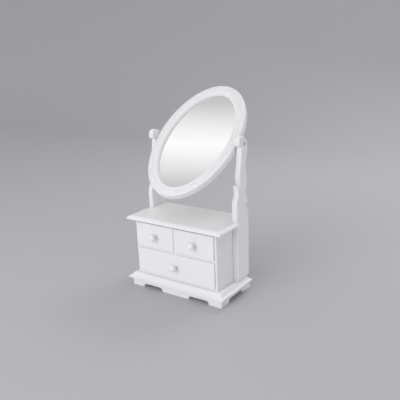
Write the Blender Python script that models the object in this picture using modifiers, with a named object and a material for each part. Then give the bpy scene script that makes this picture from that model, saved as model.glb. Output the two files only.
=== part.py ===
"""Tabletop vanity chest: three drawers under a moulded top, and an oval mirror that tilts between scroll uprights.

The origin lies on the floor, on the underside of the front apron, below the middle of the case's front.
X runs to the right, Y to the back and Z up. The mirror is modelled as it stands in the picture, leaning back.
"""

import math

import bmesh
import bpy
from mathutils import Matrix, Vector

# Driving dimensions, in metres
FIT_GAP = 0.0003
OVERRUN = 0.002
ARRIS = 0.0008

CASE_WIDTH = 0.2594
CASE_DEPTH = 0.135
SIDE_THICK = 0.006
BACK_THICK = 0.004
BOTTOM_THICK = 0.008
SHELF_THICK = 0.0075
TOP_RAIL_THICK = 0.0073
TOP_RAIL_DEPTH = 0.022
DIVIDER_THICK = 0.006
DIVIDER_SETBACK = 0.009
LOWER_OPENING = 0.0687
UPPER_OPENING = 0.0648

TOP_SIDE_OVERHANG = 0.0203
TOP_THICK = 0.009
TOP_FRONT_OVERHANG = 0.015
TOP_MOULDING = 0.0085

BASE_SIDE_OVERHANG = 0.0089
BASE_THICK = 0.0150
BASE_FRONT_OVERHANG = 0.0084
BASE_MOULDING = 0.0145

APRON_HEIGHT = 0.0227
APRON_THICK = 0.015
APRON_SIDE_PROUD = 0.0007
APRON_FRONT_OVERHANG = 0.010
FOOT_WIDTH = 0.038
CENTRE_FOOT_WIDTH = 0.086
ARCH_HEIGHT = 0.0105
ARCH_RADIUS = 0.008
BLOCK_SIZE = 0.014
BLOCK_HEIGHT = 0.018

UPRIGHT_THICK = 0.015
UPRIGHT_DEPTH = 0.0583
UPRIGHT_HEIGHT = 0.3827
UPRIGHT_ARRIS = 0.0024

PIVOT_DROP = 0.0221
PIVOT_FROM_BACK = 0.0144
MIRROR_TILT_DEGREES = 48.76
FRAME_HALF_HEIGHT = 0.1857
FRAME_BORDER = 0.031
FRAME_THICK = 0.019
FRAME_RIM_RADIUS = 0.004
FRAME_BEAD = 0.003
REBATE_WIDTH = 0.006
GLASS_SETBACK = 0.008
BACKING_LAP = 0.008
GLASS_THICK = 0.004
BACKING_THICK = 0.003
FRAME_STEPS = 96
PLATE_STEPS = 64

BACKING_SCREW_COUNT = 4
BACKING_SCREW_RADIUS = 0.0014
BACKING_SCREW_BITE = 0.006
BACKING_SCREW_HEAD_RADIUS = 0.0027
BACKING_SCREW_HEAD_HEIGHT = 0.0014

BOLT_RADIUS = 0.0025
BOLT_HEAD_RADIUS = 0.0038
BOLT_HEAD_HEIGHT = 0.004
BOLT_HEAD_SINK = 0.003
BOLT_CLEARANCE = 0.00015
BOLT_ENGAGEMENT = 0.012
INSERT_RADIUS = 0.0042
INSERT_LENGTH = 0.013
SPACER_RADIUS = 0.008
SPACER_THICK = 0.0024
SOCKET_RADIUS = 0.0016
SOCKET_DEPTH = 0.002

FRONT_THICK = 0.012
FRONT_PROUD = 0.0045
FRONT_REVEAL = 0.0010
FRONT_MIDDLE_GAP = 0.0054
FRONT_ROUND = 0.0022
DRAWER_SIDE_THICK = 0.006
DRAWER_BOTTOM_THICK = 0.003
DRAWER_BOTTOM_LIFT = 0.004
GROOVE_DEPTH = 0.003
DRAWER_SIDE_CLEARANCE = 0.0015
DRAWER_TOP_CLEARANCE = 0.010
DRAWER_BACK_CLEARANCE = 0.0112

KNOB_RADIUS = 0.010
KNOB_LENGTH = 0.0195
KNOB_FOOT_RADIUS = 0.0062
KNOB_NECK_RADIUS = 0.0045
KNOB_SCREW_RADIUS = 0.0018
KNOB_SCREW_BITE = 0.010
KNOB_SCREW_HEAD_RADIUS = 0.0038
KNOB_SCREW_HEAD_HEIGHT = 0.0022

UPRIGHT_SCREW_RADIUS = 0.002
UPRIGHT_SCREW_HEAD_RADIUS = 0.004
UPRIGHT_SCREW_HEAD_HEIGHT = 0.0024
UPRIGHT_SCREW_BITE = 0.010

TURNED_STEPS = 24
SMALL_STEPS = 16
ARC_STEPS = 5
FLAT_DEGREES = 0.2

# The upright's outline: share of its depth from the back edge, share of its height from the foot, and how the
# line passes the point
UPRIGHT_OUTLINE_SHARES = [
    (0.000, 0.000, "corner"), (0.000, 0.440, "smooth"), (0.018, 0.483, "smooth"), (0.110, 0.505, "smooth"),
    (0.275, 0.527, "corner"), (-0.022, 0.535, "corner"), (0.085, 0.565, "smooth"), (0.160, 0.612, "smooth"),
    (0.125, 0.662, "smooth"), (0.068, 0.708, "smooth"), (0.118, 0.750, "smooth"), (0.168, 0.792, "smooth"),
    (0.095, 0.840, "smooth"), (0.010, 0.885, "smooth"), (0.000, 0.925, "smooth"), (0.075, 0.966, "smooth"),
    (0.240, 0.988, "smooth"), (0.455, 1.000, "smooth"), (0.640, 0.990, "smooth"), (0.700, 0.965, "smooth"),
    (0.690, 0.938, "corner"), (0.500, 0.927, "corner"), (0.545, 0.880, "smooth"), (0.605, 0.820, "smooth"),
    (0.695, 0.760, "smooth"), (0.715, 0.715, "smooth"), (0.665, 0.672, "corner"), (0.905, 0.679, "corner"),
    (0.845, 0.645, "smooth"), (0.850, 0.605, "smooth"), (0.955, 0.580, "smooth"), (1.000, 0.545, "smooth"),
    (1.000, 0.500, "corner"), (1.000, 0.000, "corner"),
]
UPRIGHT_CURVE_STEPS = 3

# The edge mouldings, from the foot of the moulding up to the top of the board: share of its width outwards, and
# share of its height
TOP_NOSE_SHARES = [(1.00, 0.15), (0.93, 0.35), (0.74, 0.58), (0.42, 0.80)]
BASE_OGEE_SHARES = [
    (1.00, 0.16), (0.96, 0.24), (0.80, 0.29), (0.64, 0.37), (0.52, 0.47), (0.42, 0.58), (0.33, 0.70),
    (0.22, 0.82), (0.10, 0.93),
]

# The knob's outline: share of its radius, and share of its length from the tip to the foot
KNOB_DOME_SHARES = [
    (0.00, 0.000), (0.42, 0.020), (0.74, 0.090), (0.94, 0.210), (1.00, 0.340), (0.93, 0.470), (0.70, 0.590),
]

# Heights and places worked out from the driving dimensions
CASE_HALF = CASE_WIDTH / 2
CASE_INNER_HALF = CASE_HALF - SIDE_THICK
BASE_LOW = APRON_HEIGHT + FIT_GAP
BASE_HIGH = BASE_LOW + BASE_THICK
CASE_LOW = BASE_HIGH + FIT_GAP
FLOOR_BOARD_HIGH = CASE_LOW + BOTTOM_THICK
SHELF_LOW = FLOOR_BOARD_HIGH + LOWER_OPENING
SHELF_HIGH = SHELF_LOW + SHELF_THICK
TOP_RAIL_LOW = SHELF_HIGH + UPPER_OPENING
CASE_HIGH = TOP_RAIL_LOW + TOP_RAIL_THICK
TOP_LOW = CASE_HIGH + FIT_GAP
TOP_HIGH = TOP_LOW + TOP_THICK
BACK_FRONT = CASE_DEPTH - BACK_THICK
UPRIGHT_INNER = CASE_HALF + FIT_GAP
UPRIGHT_OUTER = UPRIGHT_INNER + UPRIGHT_THICK
UPRIGHT_FRONT = CASE_DEPTH - UPRIGHT_DEPTH
PIVOT_HEIGHT = CASE_LOW + UPRIGHT_HEIGHT - PIVOT_DROP
PIVOT_SETBACK = CASE_DEPTH - PIVOT_FROM_BACK
TOP_HALF = CASE_HALF + TOP_SIDE_OVERHANG
APRON_HALF = UPRIGHT_OUTER + APRON_SIDE_PROUD
BASE_HALF = APRON_HALF + BASE_SIDE_OVERHANG
BASE_FRONT = -APRON_FRONT_OVERHANG - BASE_FRONT_OVERHANG
FRAME_HALF_WIDTH = UPRIGHT_INNER - SPACER_THICK - 2 * FIT_GAP
GLASS_SEAT = GLASS_SETBACK - FRAME_THICK / 2
BACKING_SEAT = GLASS_SEAT + GLASS_THICK + 2 * FIT_GAP
REBATE_INSET = FRAME_BORDER - REBATE_WIDTH
BACKING_INSET = REBATE_INSET - BACKING_LAP


def clear_scene():
    for thing in list(bpy.data.objects):
        bpy.data.objects.remove(thing, do_unlink=True)


clear_scene()
PARTS = bpy.data.collections.new("vanity_chest")
CUTTERS = bpy.data.collections.new("vanity_chest_cutters")
bpy.context.scene.collection.children.link(PARTS)
bpy.context.scene.collection.children.link(CUTTERS)


# Materials
def material(name, colour, roughness, metallic=0.0):
    made = bpy.data.materials.new(name)
    made.use_nodes = True
    shader = made.node_tree.nodes["Principled BSDF"]
    shader.inputs["Base Color"].default_value = (*colour, 1.0)
    shader.inputs["Roughness"].default_value = roughness
    shader.inputs["Metallic"].default_value = metallic
    return made


LACQUER = (0.82, 0.82, 0.84)
BARE_BOARD = (0.55, 0.43, 0.30)


def lacquer(name):
    return material(name + "_lacquer", LACQUER, 0.35)


def bare(name):
    return material(name + "_board", BARE_BOARD, 0.75)


def steel(name):
    return material(name + "_steel", (0.45, 0.45, 0.47), 0.35, 1.0)


def brass(name):
    return material(name + "_brass", (0.7, 0.55, 0.25), 0.35, 1.0)


def nylon(name):
    return material(name + "_nylon", (0.85, 0.85, 0.85), 0.5)


def silver(name):
    return material(name + "_silver", (0.8, 0.82, 0.84), 0.05, 1.0)


# Shapes
def node(name, mesh, finish, collection=PARTS):
    """An object of its own for one piece."""
    thing = bpy.data.objects.new(name, mesh)
    if finish:
        mesh.materials.append(finish)
    collection.objects.link(thing)
    return thing


def bevel(thing, width, segments=2):
    """Rounded sharp edges."""
    made = thing.modifiers.new("rounded_edges", "BEVEL")
    made.width = width
    made.segments = segments
    made.limit_method = "ANGLE"


def mould(thing, width, shares):
    """A moulding along the weighted edges, through the points of its profile."""
    made = thing.modifiers.new("moulding", "BEVEL")
    made.width = width
    made.limit_method = "WEIGHT"
    made.profile_type = "CUSTOM"
    profile = made.custom_profile
    for out, up in shares:
        point = profile.points.add(out, up)
        point.handle_type_1 = "VECTOR"
        point.handle_type_2 = "VECTOR"
    profile.update()
    made.segments = len(profile.points) - 1


def box(name, low, high, finish, arris=0.0, collection=PARTS):
    """A board from its lowest corner to its highest."""
    low, high = Vector(low), Vector(high)
    size = high - low
    form = bmesh.new()
    bmesh.ops.create_cube(form, size=1.0)
    bmesh.ops.scale(form, vec=size, verts=form.verts)
    mesh = bpy.data.meshes.new(name)
    form.to_mesh(mesh)
    form.free()
    thing = node(name, mesh, finish, collection)
    thing.location = (low + high) / 2
    if arris:
        bevel(thing, arris)
    return thing


def as_cutter(thing):
    thing.hide_render = True
    thing.display_type = "WIRE"
    return thing


def cut(thing, cutter):
    """Takes the cutter's shape out of the piece."""
    made = thing.modifiers.new("cut_" + cutter.name, "BOOLEAN")
    made.operation = "DIFFERENCE"
    made.solver = "EXACT"
    made.object = cutter


def cutter_box(name, low, high):
    return as_cutter(box(name, low, high, None, collection=CUTTERS))


def turned(name, profile, finish, collection=PARTS, steps=TURNED_STEPS, ring=False):
    """A turned piece about its own Z axis, from (radius, height) points that run from the top down the outside.

    The profile of a ring comes back to its first point.
    """
    mesh = bpy.data.meshes.new(name)
    points = [(radius, 0.0, height) for radius, height in profile]
    count = len(points)
    links = count if ring else count - 1
    mesh.from_pydata(points, [(i, (i + 1) % count) for i in range(links)], [])
    thing = node(name, mesh, finish, collection)
    spin = thing.modifiers.new("turned", "SCREW")
    spin.axis = "Z"
    spin.angle = math.tau
    spin.steps = steps
    spin.render_steps = steps
    spin.use_merge_vertices = True
    spin.merge_threshold = FIT_GAP / 30
    return thing


def outline_mesh(name, points, kinds, thickness, curve_steps):
    """A flat outline, filled and extruded to a thickness, as a welded mesh in its own XY plane."""
    curve = bpy.data.curves.new(name + "_outline", "CURVE")
    curve.dimensions = "2D"
    curve.fill_mode = "BOTH"
    curve.extrude = thickness / 2
    curve.resolution_u = curve_steps
    spline = curve.splines.new("BEZIER")
    spline.bezier_points.add(len(points) - 1)
    for knot, (x, y), kind in zip(spline.bezier_points, points, kinds):
        knot.co = (x, y, 0.0)
        handle = "VECTOR" if kind == "corner" else "AUTO"
        knot.handle_left_type = handle
        knot.handle_right_type = handle
    spline.use_cyclic_u = True
    return curve_as_mesh(name, curve)


def curve_as_mesh(name, curve):
    """The curve's surface as a closed mesh, with its caps welded and its faces pointing out."""
    guide = bpy.data.objects.new(name + "_guide", curve)
    CUTTERS.objects.link(guide)
    graph = bpy.context.evaluated_depsgraph_get()
    graph.update()
    mesh = bpy.data.meshes.new_from_object(guide.evaluated_get(graph))
    bpy.data.objects.remove(guide, do_unlink=True)
    mesh.name = name
    mesh.materials.clear()
    form = bmesh.new()
    form.from_mesh(mesh)
    bmesh.ops.remove_doubles(form, verts=form.verts, dist=FIT_GAP / 10)
    bmesh.ops.dissolve_limit(form, angle_limit=math.radians(FLAT_DEGREES), verts=form.verts, edges=form.edges)
    bmesh.ops.recalc_face_normals(form, faces=form.faces)
    form.to_mesh(mesh)
    form.free()
    return mesh


def smooth(thing, degrees=35.0):
    """Round pieces shade smoothly, with their real edges kept sharp."""
    mesh = thing.data
    mesh.shade_smooth()
    mesh.set_sharp_from_angle(angle=math.radians(degrees))


# Moulded boards
def moulded_board(name, outline, low, high, width, shares):
    """A board from its outline, with a moulding along the upper edges of its front and its two widest sides."""
    front = min(y for x, y in outline)
    half_width = max(x for x, y in outline)
    mesh = outline_mesh(name, outline, ["corner"] * len(outline), high - low, 1)
    weights = mesh.attributes.new("bevel_weight_edge", "FLOAT", "EDGE")
    near = FIT_GAP / 10
    for edge in mesh.edges:
        ends = [mesh.vertices[i].co for i in edge.vertices]
        upper = all(end.z > 0.0 for end in ends)
        along_front = all(abs(end.y - front) < near for end in ends)
        along_side = all(abs(abs(end.x) - half_width) < near for end in ends)
        if upper and (along_front or along_side):
            weights.data[edge.index].value = 1.0
    thing = node(name, mesh, lacquer(name))
    thing.location = (0.0, 0.0, (low + high) / 2)
    mould(thing, width, shares)
    return thing


def make_top():
    """The top is notched at the back, where the uprights pass it."""
    front, notch = -TOP_FRONT_OVERHANG, UPRIGHT_FRONT - FIT_GAP
    outline = [
        (-TOP_HALF, front), (TOP_HALF, front), (TOP_HALF, notch), (CASE_HALF, notch),
        (CASE_HALF, CASE_DEPTH), (-CASE_HALF, CASE_DEPTH), (-CASE_HALF, notch), (-TOP_HALF, notch),
    ]
    moulded_board("top_board", outline, TOP_LOW, TOP_HIGH, TOP_MOULDING, TOP_NOSE_SHARES)


def make_base():
    outline = [
        (-BASE_HALF, BASE_FRONT), (BASE_HALF, BASE_FRONT), (BASE_HALF, CASE_DEPTH), (-BASE_HALF, CASE_DEPTH),
    ]
    moulded_board("base_board", outline, BASE_LOW, BASE_HIGH, BASE_MOULDING, BASE_OGEE_SHARES)


# Aprons with bracket feet
def arch_cutter(name, span_low, span_high, across_low, across_high, faces_front):
    """The open arch between two feet, with rounded upper corners."""
    points = [(span_low, -OVERRUN), (span_high, -OVERRUN)]
    for centre_x, first_turn in ((span_high - ARCH_RADIUS, 0.0), (span_low + ARCH_RADIUS, math.pi / 2)):
        for i in range(ARC_STEPS + 1):
            turn = first_turn + math.pi / 2 * i / ARC_STEPS
            x = centre_x + ARCH_RADIUS * math.cos(turn)
            points.append((x, ARCH_HEIGHT - ARCH_RADIUS + ARCH_RADIUS * math.sin(turn)))
    depth = across_high - across_low + 2 * OVERRUN
    mesh = outline_mesh(name, points, ["corner"] * len(points), depth, 1)
    thing = as_cutter(node(name, mesh, None, CUTTERS))
    middle = (across_low + across_high) / 2
    stand = Matrix.Rotation(math.pi / 2, 4, "X")
    if faces_front:
        thing.matrix_world = Matrix.Translation((0.0, middle, 0.0)) @ stand
    else:
        quarter = Matrix.Rotation(math.pi / 2, 4, "Z")
        thing.matrix_world = Matrix.Translation((middle, 0.0, 0.0)) @ quarter @ stand
    return thing


def make_aprons():
    front_low, front_high = -APRON_FRONT_OVERHANG, APRON_THICK - APRON_FRONT_OVERHANG
    low, high = (-APRON_HALF, front_low, 0.0), (APRON_HALF, front_high, APRON_HEIGHT)
    front = box("apron_front", low, high, lacquer("apron_front"), ARRIS)
    for label, sign in (("left", -1), ("right", 1)):
        ends = sorted((sign * CENTRE_FOOT_WIDTH / 2, sign * (APRON_HALF - FOOT_WIDTH)))
        cut(front, arch_cutter("arch_front_" + label, ends[0], ends[1], front_low, front_high, True))
    side_front = front_high + FIT_GAP
    arch_front, arch_back = front_low + FOOT_WIDTH, CASE_DEPTH - FOOT_WIDTH
    for label, sign in (("left", -1), ("right", 1)):
        name = "apron_" + label
        across = sorted((sign * APRON_HALF, sign * (APRON_HALF - APRON_THICK)))
        low, high = (across[0], side_front, 0.0), (across[1], CASE_DEPTH, APRON_HEIGHT)
        side = box(name, low, high, lacquer(name), ARRIS)
        cut(side, arch_cutter("arch_side_" + label, arch_front, arch_back, across[0], across[1], False))
    back_half, back_front = APRON_HALF - APRON_THICK - FIT_GAP, CASE_DEPTH - APRON_THICK
    low, high = (-back_half, back_front, 0.0), (back_half, CASE_DEPTH, APRON_HEIGHT)
    back = box("apron_back", low, high, lacquer("apron_back"), ARRIS)
    arch_half = APRON_HALF - FOOT_WIDTH
    cut(back, arch_cutter("arch_back", -arch_half, arch_half, back_front, CASE_DEPTH, True))
    return side_front


def make_corner_blocks(side_front):
    """Four glue blocks in the corners behind the aprons."""
    reach = APRON_HALF - APRON_THICK - FIT_GAP
    front_low, back_high = side_front, CASE_DEPTH - APRON_THICK - FIT_GAP
    for side, sign in (("left", -1), ("right", 1)):
        across = sorted((sign * reach, sign * (reach - BLOCK_SIZE)))
        for end, low in (("front", front_low), ("back", back_high - BLOCK_SIZE)):
            name = "corner_block_" + end + "_" + side
            block_low = (across[0], low, APRON_HEIGHT - BLOCK_HEIGHT)
            block_high = (across[1], low + BLOCK_SIZE, APRON_HEIGHT)
            box(name, block_low, block_high, bare(name), ARRIS)


# Case
def make_case():
    sides = {}
    for label, sign in (("left", -1), ("right", 1)):
        name = "side_panel_" + label
        across = sorted((sign * CASE_HALF, sign * CASE_INNER_HALF))
        low, high = (across[0], 0.0, CASE_LOW), (across[1], CASE_DEPTH, CASE_HIGH)
        sides[sign] = box(name, low, high, lacquer(name), ARRIS)
    inner = CASE_INNER_HALF - FIT_GAP
    back = BACK_FRONT - FIT_GAP
    for name, low_level, high_level in (
        ("bottom_board", CASE_LOW, FLOOR_BOARD_HIGH), ("drawer_shelf", SHELF_LOW, SHELF_HIGH),
    ):
        box(name, (-inner, 0.0, low_level), (inner, back, high_level), lacquer(name), ARRIS)
    rail_low, rail_high = (-inner, 0.0, TOP_RAIL_LOW), (inner, TOP_RAIL_DEPTH, CASE_HIGH)
    box("top_rail", rail_low, rail_high, lacquer("top_rail"), ARRIS)
    divider_low = (-DIVIDER_THICK / 2, DIVIDER_SETBACK, SHELF_HIGH + FIT_GAP)
    divider_high = (DIVIDER_THICK / 2, back, TOP_RAIL_LOW - FIT_GAP)
    box("drawer_divider", divider_low, divider_high, lacquer("drawer_divider"), ARRIS)
    box("back_panel", (-inner, BACK_FRONT, CASE_LOW), (inner, CASE_DEPTH, CASE_HIGH), bare("back_panel"))
    return sides


# Uprights
def upright_points():
    """The outline in depth and height, from the shares."""
    points, kinds = [], []
    for back, up, kind in UPRIGHT_OUTLINE_SHARES:
        points.append((CASE_DEPTH - back * UPRIGHT_DEPTH, CASE_LOW + up * UPRIGHT_HEIGHT))
        kinds.append(kind)
    return points, kinds


def make_uprights():
    points, kinds = upright_points()
    made = {}
    for label, sign in (("left", -1), ("right", 1)):
        name = "upright_" + label
        mesh = outline_mesh(name, points, kinds, UPRIGHT_THICK, UPRIGHT_CURVE_STEPS)
        stand = Matrix.Rotation(math.pi / 2, 4, "Z") @ Matrix.Rotation(math.pi / 2, 4, "X")
        mesh.transform(stand)
        thing = node(name, mesh, lacquer(name))
        thing.location = (sign * (UPRIGHT_INNER + UPRIGHT_THICK / 2), 0.0, 0.0)
        bevel(thing, UPRIGHT_ARRIS)
        made[sign] = thing
    return made


def along_x(name, profile, sign, finish, collection=PARTS, ring=False):
    """A turned piece laid along X, its own top facing outwards on the given side."""
    thing = turned(name, profile, finish, collection, ring=ring)
    thing.rotation_euler = (0.0, sign * math.pi / 2, 0.0)
    return thing


def screw_profile(head, head_height, shank, length):
    """A countersunk screw from its point at the top down to its head's flat face."""
    return [
        (0.0, length), (shank / 4, length), (shank, length - 2 * shank), (shank, head_height),
        (head, 0.0), (0.0, 0.0),
    ]


def screw_hole_profile(head, head_height, shank, length):
    """The hole that the screw sits in, a clearance wider all round."""
    wide_shank, wide_head = shank + FIT_GAP, head + FIT_GAP
    return [
        (0.0, length + FIT_GAP), (wide_shank, length + FIT_GAP), (wide_shank, head_height + FIT_GAP),
        (wide_head, FIT_GAP), (wide_head, -OVERRUN), (0.0, -OVERRUN),
    ]


def make_upright_screws(sides, uprights):
    """Countersunk screws through each side panel into its upright, driven from inside the case."""
    head, head_height, shank = UPRIGHT_SCREW_HEAD_RADIUS, UPRIGHT_SCREW_HEAD_HEIGHT, UPRIGHT_SCREW_RADIUS
    length = SIDE_THICK + UPRIGHT_SCREW_BITE
    rows = (("lower", FLOOR_BOARD_HIGH + LOWER_OPENING / 2), ("upper", SHELF_HIGH + UPPER_OPENING / 2))
    for side, sign in (("left", -1), ("right", 1)):
        for row, height in rows:
            spot = (sign * CASE_INNER_HALF, CASE_DEPTH - UPRIGHT_DEPTH / 2, height)
            name = "upright_screw_" + row + "_" + side
            screw = along_x(name, screw_profile(head, head_height, shank, length), sign, steel(name))
            screw.location = spot
            smooth(screw)
            hole_profile = screw_hole_profile(head, head_height, shank, length)
            hole = as_cutter(along_x(name + "_hole", hole_profile, sign, None, CUTTERS))
            hole.location = spot
            cut(sides[sign], hole)
            cut(uprights[sign], hole)


# Mirror
def empty(name, place):
    thing = bpy.data.objects.new(name, None)
    thing.location = place
    PARTS.objects.link(thing)
    return thing


def oval(inset, count):
    """Points of the frame's oval, moved inwards square to its edge, as (across, up)."""
    points = []
    for i in range(count):
        turn = math.tau * i / count
        across, up = FRAME_HALF_WIDTH * math.cos(turn), FRAME_HALF_HEIGHT * math.sin(turn)
        normal = Vector((math.cos(turn) / FRAME_HALF_WIDTH, math.sin(turn) / FRAME_HALF_HEIGHT)).normalized()
        points.append((across - inset * normal.x, up - inset * normal.y))
    return points


def frame_section():
    """The frame's section: distance in from its outer edge, and depth behind its middle plane, back to front."""
    half = FRAME_THICK / 2
    rim = FRAME_RIM_RADIUS
    bead = FRAME_BEAD
    points = [(rim / 2, half), (0.0, half - rim / 2), (0.0, rim - half)]
    for turn in (30.0, 60.0, 90.0):
        angle = math.radians(turn)
        points.append((rim - rim * math.cos(angle), rim - half - rim * math.sin(angle)))
    points += [
        (FRAME_BORDER - 3 * bead, -half),
        (FRAME_BORDER - 2 * bead, bead / 6 - half),
        (FRAME_BORDER - bead, bead * 2 / 3 - half),
        (FRAME_BORDER, bead * 5 / 3 - half),
        (FRAME_BORDER, GLASS_SEAT),
        (REBATE_INSET, GLASS_SEAT),
        (REBATE_INSET, BACKING_SEAT),
        (BACKING_INSET, BACKING_SEAT),
        (BACKING_INSET, half),
    ]
    return points


def make_mirror():
    pivot = empty("mirror_pivot", (0.0, PIVOT_SETBACK, PIVOT_HEIGHT))
    pivot.rotation_euler = (-math.radians(MIRROR_TILT_DEGREES), 0.0, 0.0)
    form = bmesh.new()
    loops = []
    for inset, depth in frame_section():
        loops.append([form.verts.new((across, depth, up)) for across, up in oval(inset, FRAME_STEPS)])
    for lower, upper in zip(loops, loops[1:] + loops[:1]):
        for i in range(FRAME_STEPS):
            k = (i + 1) % FRAME_STEPS
            form.faces.new((lower[i], lower[k], upper[k], upper[i]))
    bmesh.ops.recalc_face_normals(form, faces=form.faces)
    mesh = bpy.data.meshes.new("mirror_frame")
    form.to_mesh(mesh)
    form.free()
    frame = node("mirror_frame", mesh, lacquer("mirror_frame"))
    frame.parent = pivot
    smooth(frame, 50.0)

    glass_front = GLASS_SEAT + FIT_GAP
    name = "mirror_glass"
    glass = oval_plate(name, REBATE_INSET + FIT_GAP, glass_front, glass_front + GLASS_THICK, silver(name))
    glass.parent = pivot
    backing_front = BACKING_SEAT + FIT_GAP
    backing_back = backing_front + BACKING_THICK
    name = "mirror_backing"
    backing = oval_plate(name, BACKING_INSET + FIT_GAP, backing_front, backing_back, bare(name))
    backing.parent = pivot
    make_backing_screws(pivot, frame, backing, backing_back)
    return pivot, frame


def oval_plate(name, inset, front, back, finish):
    points = oval(inset, PLATE_STEPS)
    mesh = outline_mesh(name, points, ["corner"] * len(points), back - front, 1)
    mesh.transform(Matrix.Rotation(math.pi / 2, 4, "X"))
    mesh.transform(Matrix.Translation((0.0, (front + back) / 2, 0.0)))
    return node(name, mesh, finish)


def make_backing_screws(pivot, frame, backing, backing_back):
    """Small countersunk screws that hold the backing board into the frame's rebate."""
    head, head_height = BACKING_SCREW_HEAD_RADIUS, BACKING_SCREW_HEAD_HEIGHT
    shank, length = BACKING_SCREW_RADIUS, BACKING_THICK + BACKING_SCREW_BITE
    line = oval(BACKING_INSET + BACKING_LAP / 2, 2 * BACKING_SCREW_COUNT)
    for i in range(BACKING_SCREW_COUNT):
        across, up = line[2 * i + 1]
        name = "backing_screw_%d" % (i + 1)
        screw = turned(name, screw_profile(head, head_height, shank, length), steel(name), steps=SMALL_STEPS)
        hole_profile = screw_hole_profile(head, head_height, shank, length)
        hole = as_cutter(turned(name + "_hole", hole_profile, None, CUTTERS, SMALL_STEPS))
        for thing in (screw, hole):
            thing.parent = pivot
            thing.rotation_euler = (math.pi / 2, 0.0, 0.0)
            thing.location = (across, backing_back, up)
        smooth(screw)
        cut(backing, hole)
        cut(frame, hole)


def make_pivots(pivot, frame, uprights):
    """Each side: a bolt from outside through the upright, a spacer, and a threaded insert in the frame's edge.

    Each piece is measured outwards from the frame's edge.
    """
    edge = FRAME_HALF_WIDTH
    head_out = UPRIGHT_OUTER - BOLT_HEAD_SINK - edge
    head_in = head_out - BOLT_HEAD_HEIGHT
    socket = head_out - SOCKET_DEPTH
    bolt_profile = [
        (0.0, socket), (SOCKET_RADIUS, socket), (SOCKET_RADIUS, head_out), (BOLT_HEAD_RADIUS, head_out),
        (BOLT_HEAD_RADIUS, head_in), (BOLT_RADIUS, head_in), (BOLT_RADIUS, -BOLT_ENGAGEMENT),
        (0.0, -BOLT_ENGAGEMENT),
    ]
    bore = BOLT_RADIUS + BOLT_CLEARANCE
    insert_out = -FIT_GAP
    insert_in = insert_out - INSERT_LENGTH
    insert_profile = [
        (bore, insert_out), (INSERT_RADIUS, insert_out), (INSERT_RADIUS, insert_in), (bore, insert_in),
    ]
    spacer_in = FIT_GAP
    spacer_out = spacer_in + SPACER_THICK
    spacer_profile = [
        (bore, spacer_out), (SPACER_RADIUS, spacer_out), (SPACER_RADIUS, spacer_in), (bore, spacer_in),
    ]
    seat_radius, seat_in = INSERT_RADIUS + FIT_GAP, insert_in - FIT_GAP
    seat_profile = [(0.0, OVERRUN), (seat_radius, OVERRUN), (seat_radius, seat_in), (0.0, seat_in)]
    counterbore = BOLT_HEAD_RADIUS + BOLT_CLEARANCE + FIT_GAP
    hole_out, hole_in = UPRIGHT_OUTER + OVERRUN - edge, UPRIGHT_INNER - OVERRUN - edge
    hole_profile = [
        (0.0, hole_out), (counterbore, hole_out), (counterbore, head_in - FIT_GAP), (bore, head_in - FIT_GAP),
        (bore, hole_in), (0.0, hole_in),
    ]
    for label, sign in (("left", -1), ("right", 1)):
        name = "pivot_bolt_" + label
        bolt = along_x(name, bolt_profile, sign, steel(name))
        name = "pivot_insert_" + label
        insert = along_x(name, insert_profile, sign, brass(name), ring=True)
        seat = as_cutter(along_x("insert_seat_" + label, seat_profile, sign, None, CUTTERS))
        for thing in (bolt, insert, seat):
            thing.parent = pivot
            thing.location = (sign * edge, 0.0, 0.0)
        name = "pivot_spacer_" + label
        spacer = along_x(name, spacer_profile, sign, nylon(name), ring=True)
        hole = as_cutter(along_x("pivot_hole_" + label, hole_profile, sign, None, CUTTERS))
        for thing in (spacer, hole):
            thing.location = (sign * edge, PIVOT_SETBACK, PIVOT_HEIGHT)
        for thing in (bolt, insert, spacer):
            smooth(thing)
        cut(frame, seat)
        cut(uprights[sign], hole)


# Drawers
def knob_profile():
    points = [(share * KNOB_RADIUS, -along * KNOB_LENGTH) for share, along in KNOB_DOME_SHARES]
    neck_low = -KNOB_LENGTH + (KNOB_FOOT_RADIUS - KNOB_NECK_RADIUS)
    points += [
        (KNOB_NECK_RADIUS, (points[-1][1] + neck_low) / 2), (KNOB_NECK_RADIUS, neck_low),
        (KNOB_FOOT_RADIUS, neck_low - FIT_GAP), (KNOB_FOOT_RADIUS, -KNOB_LENGTH), (0.0, -KNOB_LENGTH),
    ]
    return points


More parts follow.
